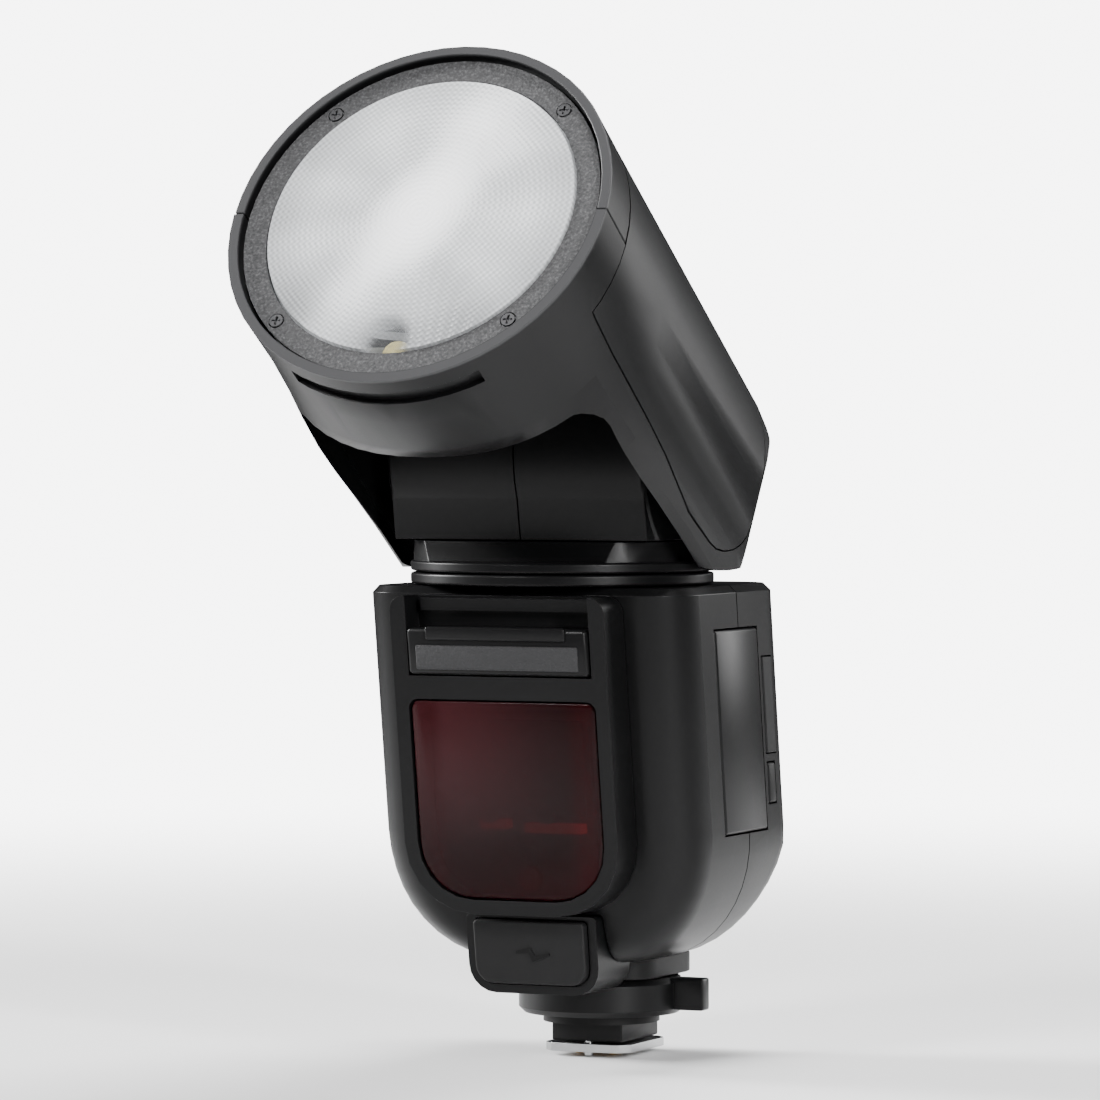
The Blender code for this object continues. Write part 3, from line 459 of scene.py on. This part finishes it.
def drum(bm, radius, low, high, spot=(0, 0), sides=32, bevel=0.0):  # along Y, centred on (x, z)
    made = bmesh.ops.create_cone(
        bm, cap_ends=True, segments=sides, radius1=radius, radius2=radius, depth=high - low
    )["verts"]
    place = Matrix.Translation((spot[0], (low + high) / 2, spot[1])) @ Matrix.Rotation(math.pi / 2, 4, "X")
    bmesh.ops.transform(bm, matrix=place, verts=made)
    if bevel:
        rims = {edge for vert in made for edge in vert.link_edges if len(edge.link_faces[0].verts) > 4
                or len(edge.link_faces[-1].verts) > 4}
        bmesh.ops.bevel(
            bm, geom=list(rims), offset=bevel, segments=3, profile=0.5, affect="EDGES", material=-1
        )


print("skins")
skins = {  # finish and edge rounding of each CAD node that keeps its shape
    "head_lower_shell": ("headShell", 0.35),
    "head_upper_shell": ("headShell", 0.35),
    "front_band": ("headShell", 0.35),
    "front_shell": ("satinBlack", 0.3),
    "rear_shell": ("satinBlack", 0.3),
    "front_bezel": ("satinBlack", 0.5),
    "swivel_base": ("satinBlack", 0.25),
    "swivel_disc": ("satinBlack", 0.3),
    "neck_shell_left": ("satinBlack", 0.12),
    "neck_shell_right": ("satinBlack", 0.12),
    "battery": ("satinBlack", 0.25),
    "battery_latch": ("matteBlack", 0.2),
    "side_port_cover": ("rubber", 0.25),
    "power_port_socket": ("satinBlack", 0.4),
    "power_port_cover": ("rubber", 0.5),
    "accessory_port_cover": ("satinBlack", 0.25),
    "shoe_turret": ("matteBlack", 0.3),
    "lock_collar": ("satinBlack", 0.3),
    "foot_block": ("matteBlack", 0.25),
    "foot_plate": ("chrome", 0.2),
    "contact_pins": ("gold", 0.1),
    "lock_pin": ("chrome", 0.1),
    "control_dial": ("keyGrey", 0.25),
    "set_button": ("keyGrey", 0.2),
    "mode_button": ("keyGrey", 0.2),
    "test_button": ("keyGrey", 0.2),
    "power_switch": ("keyGrey", 0.2),
    "function_button_1": ("keyGrey", 0.2),
    "function_button_2": ("keyGrey", 0.2),
    "function_button_3": ("keyGrey", 0.2),
    "function_button_4": ("keyGrey", 0.2),
    "front_ring": ("ring", 0.15),
}
for node, (look, width) in skins.items():
    skin(node, look, width * mm)

kept = {  # CAD nodes that stay, with a finish of their own
    "lamp_board": "board", "main_board": "board", "key_board": "board", "led_board": "paleBoard",
    "lcd_panel": "screen", "lcd_window": "clear", "side_port_socket": "matteBlack",
    "transformer": "copper", "flash_capacitor": "can", "swivel_spindle": "zinc",
    "trunnion_left": "zinc", "trunnion_right": "zinc", "tilt_hub_left": "matteBlack",
    "tilt_hub_right": "matteBlack", "head_chassis": "zinc", "zoom_motor": "can",
    "zoom_carriage": "matteBlack", "zoom_screw": "zinc", "reflector": "mirror", "flash_tube": "clear",
    "ring_screw_1": "darkSteel", "ring_screw_2": "darkSteel", "ring_screw_3": "darkSteel",
    "ring_screw_4": "darkSteel",
}
for node, look in kept.items():
    slots = frame["nodes"][node].data.materials
    slots.clear()
    slots.append(looks[look])


frontLens = {  # depths are behind the rim's face
    "radius": 35.2 * mm, "opening": 30.4 * mm, "face": 0.55 * mm, "flange": 3.2 * mm, "back": 4.4 * mm,
    "dome": 0.5 * mm, "steps": 14,
}


def addLens():
    bm = bmesh.new()
    edge, radius = frontLens["opening"], frontLens["radius"]
    rise, steps = frontLens["dome"], frontLens["steps"]
    flange, back = frontLens["flange"], frontLens["back"]
    face = frontLens["face"]
    shares = [i / steps for i in range(steps + 1)]
    profile = [(edge * share, face + rise - rise * (1 - share ** 2)) for share in shares]
    profile += [(edge, flange), (radius, flange), (radius, back), (0, back)]
    turned(bm, profile)
    bm.transform(headPlace)
    show(bm, "fresnelLens", "lens", "head", ("front_lens",))


modellingLamp = {"radius": 3.0 * mm, "front": 4.95 * mm, "back": 8.6 * mm}


def addModellingLamp():
    bm = bmesh.new()
    radius = modellingLamp["radius"]
    front, back = modellingLamp["front"], modellingLamp["back"]
    profile = [(0, front)]
    profile += [
        (radius * math.sin(turn), front + radius * (1 - math.cos(turn)) * 0.8)
        for turn in (math.radians(15 * i) for i in range(1, 7))
    ]
    profile += [(radius, back), (0, back)]
    turned(bm, profile, 40)
    bmesh.ops.translate(bm, vec=(0, 0, -lensPattern["lampDrop"]), verts=bm.verts)
    bm.transform(headPlace)
    show(bm, "modellingLampDome", "yellow", "head", ("modelling_lamp",))


print("head front")
addLens()
addModellingLamp()


upright = {"top": 93.0 * mm, "middle": -16.6 * mm}  # the height that the lean turns about, and its depth


def leanedBack(bm):  # from the upright body's frame to the leaning one
    shift = upright["middle"] + bodyLean * upright["top"]
    bm.transform(Matrix(((1, 0, 0, 0), (0, 1, -bodyLean, shift), (0, 0, 1, 0), (0, 0, 0, 1))))


windowPane = {
    "half": 19.3 * mm, "low": 32.8 * mm, "high": 71.2 * mm, "front": -37.4 * mm, "back": -35.5 * mm,
    "lowCorner": 10.7 * mm, "highCorner": 1.8 * mm, "edge": 0.45 * mm,
}


def addWindow():
    bm = bmesh.new()
    block(
        bm,
        (-windowPane["half"], windowPane["front"], windowPane["low"]),
        (windowPane["half"], windowPane["back"], windowPane["high"]),
    )
    along = [edge for edge in bm.edges if abs(edge.verts[0].co.y - edge.verts[1].co.y) > mm]
    middle = (windowPane["low"] + windowPane["high"]) / 2
    for name, low in (("lowCorner", True), ("highCorner", False)):
        chosen = [edge for edge in along if edge.is_valid and (edge.verts[0].co.z < middle) == low]
        bmesh.ops.bevel(
            bm, geom=chosen, offset=windowPane[name], segments=10, profile=0.5, affect="EDGES", material=-1
        )
    front = [face for face in bm.faces if face.calc_center_median().y < windowPane["front"] + 0.01 * mm]
    rim = list({edge for face in front for edge in face.edges})
    bmesh.ops.bevel(
        bm, geom=rim, offset=windowPane["edge"], segments=3, profile=0.5, affect="EDGES", material=-1
    )
    leanedBack(bm)
    show(bm, "redFrontWindow", "red", "body", ("front_window",), 50)


windowInside = {
    "casingHalf": 14.6 * mm, "casingLow": 49.0 * mm, "casingHigh": 67.5 * mm, "casingBack": -30.2 * mm,
    "front": -33.6 * mm, "barBack": -30.3 * mm, "barHeight": 2.0 * mm,
    "bars": ((-8.2 * mm, -2.4 * mm, 46.2 * mm), (1.2 * mm, 13.2 * mm, 45.6 * mm)),  # left, right, low
    "lampSpot": (1.6 * mm, 36.6 * mm), "lampRadius": 2.5 * mm, "lampBack": -32.0 * mm,
    "studRadius": 1.1 * mm, "studReach": 0.5 * mm,
}


def addWindowInside():
    front = windowInside["front"]
    half = windowInside["casingHalf"]
    bm = bmesh.new()
    block(
        bm, (-half, front, windowInside["casingLow"]),
        (half, windowInside["casingBack"], windowInside["casingHigh"]), 0.4 * mm,
    )
    leanedBack(bm)
    show(bm, "sensorCasing", "matteBlack", "body")
    bm = bmesh.new()
    for left, right, low in windowInside["bars"]:
        high = low + windowInside["barHeight"]
        block(bm, (left, front, low), (right, windowInside["barBack"], high), 0.3 * mm)
    leanedBack(bm)
    # the bars glow with painted light
    show(bm, "redBars", "redDim", "body")
    bm = bmesh.new()
    spot, reach = windowInside["lampSpot"], windowInside["studReach"]
    drum(bm, windowInside["lampRadius"], front, windowInside["lampBack"], spot, 32, 0.5 * mm)
    drum(bm, windowInside["studRadius"], front - reach, front + reach, spot, 20, 0.2 * mm)
    leanedBack(bm)
    show(bm, "redRoundLamp", "redGlow", "body")


coverStrip = {
    "half": 16.9 * mm, "low": 77.3 * mm, "high": 82.0 * mm, "front": -39.05 * mm, "depth": 0.6 * mm,
    "barHalf": 14.6 * mm, "barLow": 83.0 * mm, "barHigh": 85.6 * mm, "barFront": -39.3 * mm,
    "barDepth": 1.2 * mm,
}


def addCoverDetail():
    half, front = coverStrip["half"], coverStrip["front"]
    bm = bmesh.new()
    block(
        bm, (-half, front, coverStrip["low"]),
        (half, front + coverStrip["depth"], coverStrip["high"]), 0.28 * mm, 3,
    )
    leanedBack(bm)
    show(bm, "texturedStrip", "texturedStrip", "accessory_cover")
    half, front = coverStrip["barHalf"], coverStrip["barFront"]
    bm = bmesh.new()
    block(
        bm, (-half, front, coverStrip["barLow"]),
        (half, front + coverStrip["barDepth"], coverStrip["barHigh"]), 0.45 * mm, 3,
    )
    leanedBack(bm)
    show(bm, "coverNotchBar", "satinBlack", "accessory_cover")


boltGlyph = {
    "spot": (0.9 * mm, 21.6 * mm), "front": -32.42 * mm, "size": 1.0 * mm, "depth": 0.4 * mm,
    "outline": (
        (-3.6, 0.7), (-0.6, 1.5), (0.3, -0.2), (3.4, 0.5),
        (3.4, 0.0), (-0.2, -1.5), (-0.9, 0.3), (-3.6, 0.1),
    ),
}


def addBoltGlyph():
    bm = bmesh.new()
    x, z = boltGlyph["spot"]
    size, front = boltGlyph["size"], boltGlyph["front"]
    corners = [(x + a * size, front, z + b * size) for a, b in boltGlyph["outline"]]
    face = bm.faces.new([bm.verts.new(corner) for corner in corners])
    moved = bmesh.ops.extrude_face_region(bm, geom=[face])["geom"]
    verts = [item for item in moved if isinstance(item, bmesh.types.BMVert)]
    bmesh.ops.translate(bm, vec=(0, boltGlyph["depth"], 0), verts=verts)
    leanedBack(bm)
    show(bm, "boltGlyph", "matteBlack", "power_flap")


print("body front")
addWindow()
addWindowInside()
addCoverDetail()
addBoltGlyph()


panelPlace = Matrix.Translation(Vector(jointOf["dial_turn"]["pos_m"])) @ Matrix.Rotation(leanTurn, 4, "X")
dialDetail = {"ribs": 36, "radius": 8.45 * mm, "rib": 0.22 * mm, "low": 0.2 * mm, "high": 2.1 * mm}


def addDialRibs():
    bm = bmesh.new()
    ribs, rib = dialDetail["ribs"], dialDetail["rib"]
    low, high = dialDetail["low"], dialDetail["high"]
    for i in range(ribs):
        made = bmesh.ops.create_cube(bm, size=1.0)["verts"]
        bmesh.ops.scale(bm, vec=(rib * 2, high - low, rib * 2), verts=made)
        bmesh.ops.translate(bm, vec=(dialDetail["radius"], (high + low) / 2, 0), verts=made)
        bmesh.ops.transform(bm, matrix=Matrix.Rotation(math.tau * i / ribs, 4, "Y"), verts=made)
    bm.transform(panelPlace)
    show(bm, "dialRibs", "keyGrey", "dial")


screenDetail = {
    "back": -1.65 * mm, "front": -1.55 * mm, "bars": 9, "barStart": -14.0 * mm, "barPitch": 3.5 * mm,
    "barWidth": 1.6 * mm, "barLow": 20.5 * mm, "barHeight": 1.2 * mm, "barGrowth": 0.35 * mm,
    "boxLefts": (-15.0 * mm, -5.0 * mm, 5.0 * mm), "boxLows": (27.5 * mm, 34.2 * mm),
    "boxWide": 8.6 * mm, "boxTall": 4.95 * mm, "line": 0.35 * mm,
}


def addScreenMarks():  # a plain level scale and boxes, with no lettering
    bm = bmesh.new()
    back, front = screenDetail["back"], screenDetail["front"]
    wide, tall, line = screenDetail["boxWide"], screenDetail["boxTall"], screenDetail["line"]
    low = screenDetail["barLow"]
    for i in range(screenDetail["bars"]):
        left = screenDetail["barStart"] + screenDetail["barPitch"] * i
        high = low + screenDetail["barHeight"] + screenDetail["barGrowth"] * i
        block(bm, (left, back, low), (left + screenDetail["barWidth"], front, high))
    sides = (
        ((0, 0), (wide, line)), ((0, tall - line), (wide, tall)),
        ((0, 0), (line, tall)), ((wide - line, 0), (wide, tall)),
    )
    for left in screenDetail["boxLefts"]:
        for bottom in screenDetail["boxLows"]:
            for start, end in sides:
                block(
                    bm, (left + start[0], back, bottom + start[1]), (left + end[0], front, bottom + end[1])
                )
    bm.transform(panelPlace)
    show(bm, "screenMarks", "matteBlack", "body")


print("rear panel")
addDialRibs()
addScreenMarks()


# studio

studio = {"floor": -1.05 * mm, "size": 4.0, "near": 0.16, "far": 0.8}  # the floor fades from near to far


def floorFinish():  # pale, and fading into the white surroundings away from the object
    look = Look("paleFloor")
    x, y, z = look.parts(look.place())
    away = (x * x + y * y).power(0.5).smooth(studio["near"], studio["far"])
    tone = look.noise(look.place(), 3.0, 3.0)
    look.set(
        Base_Color=look.mix(tone, (0.87, 0.87, 0.875), (0.9, 0.9, 0.9)),
        Roughness=0.75 + tone * 0.1,
        Alpha=1 - away,
    )
    return look.material


def addFloor():
    bm = bmesh.new()
    bmesh.ops.create_grid(bm, x_segments=1, y_segments=1, size=studio["size"])
    bmesh.ops.translate(bm, vec=(0, 0, studio["floor"]), verts=bm.verts)
    mesh = bpy.data.meshes.new("paleFloor")
    bm.to_mesh(mesh)
    bm.free()
    floor = bpy.data.objects.new("paleFloor", mesh)
    bpy.context.scene.collection.objects.link(floor)
    floor.data.materials.append(floorFinish())


softBoxes = {  # place, target, width and height in metres, spread in degrees, power in watts
    "leftBox": ((-1.3, -0.05, 0.55), (0, -0.03, 0.14), 0.3, 0.7, 60, 6.0),
    "rightBox": ((1.15, -0.8, 0.55), (0, -0.03, 0.12), 0.12, 0.9, 60, 3.5),
    "overheadBox": ((0.1, 0.2, 1.25), (0, -0.02, 0.1), 0.6, 0.4, 90, 5.0),
    "frontBox": ((-0.35, -1.15, 0.85), (0, -0.06, 0.16), 0.45, 0.35, 24, 0.55),
    "rearBox": ((0.75, 1.1, 0.5), (0, -0.02, 0.12), 0.5, 0.8, 70, 2.0),
}


def aim(obj, target):
    direction = Vector(target) - obj.location
    obj.rotation_euler = direction.to_track_quat("-Z", "Y").to_euler()


def addLights():
    for name, (place, target, width, height, spread, power) in softBoxes.items():
        light = bpy.data.lights.new(name, "AREA")
        light.shape = "RECTANGLE"
        light.size = width
        light.size_y = height
        light.energy = power
        light.spread = math.radians(spread)
        box = bpy.data.objects.new(name, light)
        bpy.context.scene.collection.objects.link(box)
        box.location = place
        aim(box, target)


def addWorld():
    world = bpy.data.worlds.new("paleStudio")
    bpy.context.scene.world = world
    world.use_nodes = True
    tree = world.node_tree
    dim = tree.nodes["Background"]
    dim.inputs["Color"].default_value = (0.9, 0.93, 1.0, 1)
    dim.inputs["Strength"].default_value = 0.03
    pale = tree.nodes.new("ShaderNodeBackground")
    pale.inputs["Color"].default_value = (0.98, 0.98, 0.985, 1)
    pale.inputs["Strength"].default_value = 7.0
    seen = tree.nodes.new("ShaderNodeLightPath")
    blend = tree.nodes.new("ShaderNodeMixShader")
    tree.links.new(seen.outputs["Is Camera Ray"], blend.inputs[0])
    tree.links.new(dim.outputs[0], blend.inputs[1])
    tree.links.new(pale.outputs[0], blend.inputs[2])
    tree.links.new(blend.outputs[0], tree.nodes["World Output"].inputs[0])


cameraView = {  # angles in degrees, lens and sensor in millimetres, the rest in metres
    "azimuth": 23.5, "elevation": 1.395, "distance": 1.22135, "across": -0.01101, "height": 0.0992,
    "lens": 200.79, "sensor": 36, "farEnd": 20,
}


def addCamera():
    camera = bpy.data.objects.new("camera", bpy.data.cameras.new("camera"))
    bpy.context.scene.collection.objects.link(camera)
    camera.data.lens = cameraView["lens"]
    camera.data.sensor_width = cameraView["sensor"]
    camera.data.clip_end = cameraView["farEnd"]
    turn, rise = math.radians(cameraView["azimuth"]), math.radians(cameraView["elevation"])
    forward = Vector((-math.sin(turn) * math.cos(rise), math.cos(turn) * math.cos(rise), -math.sin(rise)))
    across = Vector((math.cos(turn), math.sin(turn), 0))
    target = across * cameraView["across"] + Vector((0, 0, cameraView["height"]))
    camera.location = target - forward * cameraView["distance"]
    camera.rotation_euler = forward.to_track_quat("-Z", "Y").to_euler()
    bpy.context.scene.camera = camera


print("studio")
addFloor()
addLights()
addWorld()
addCamera()
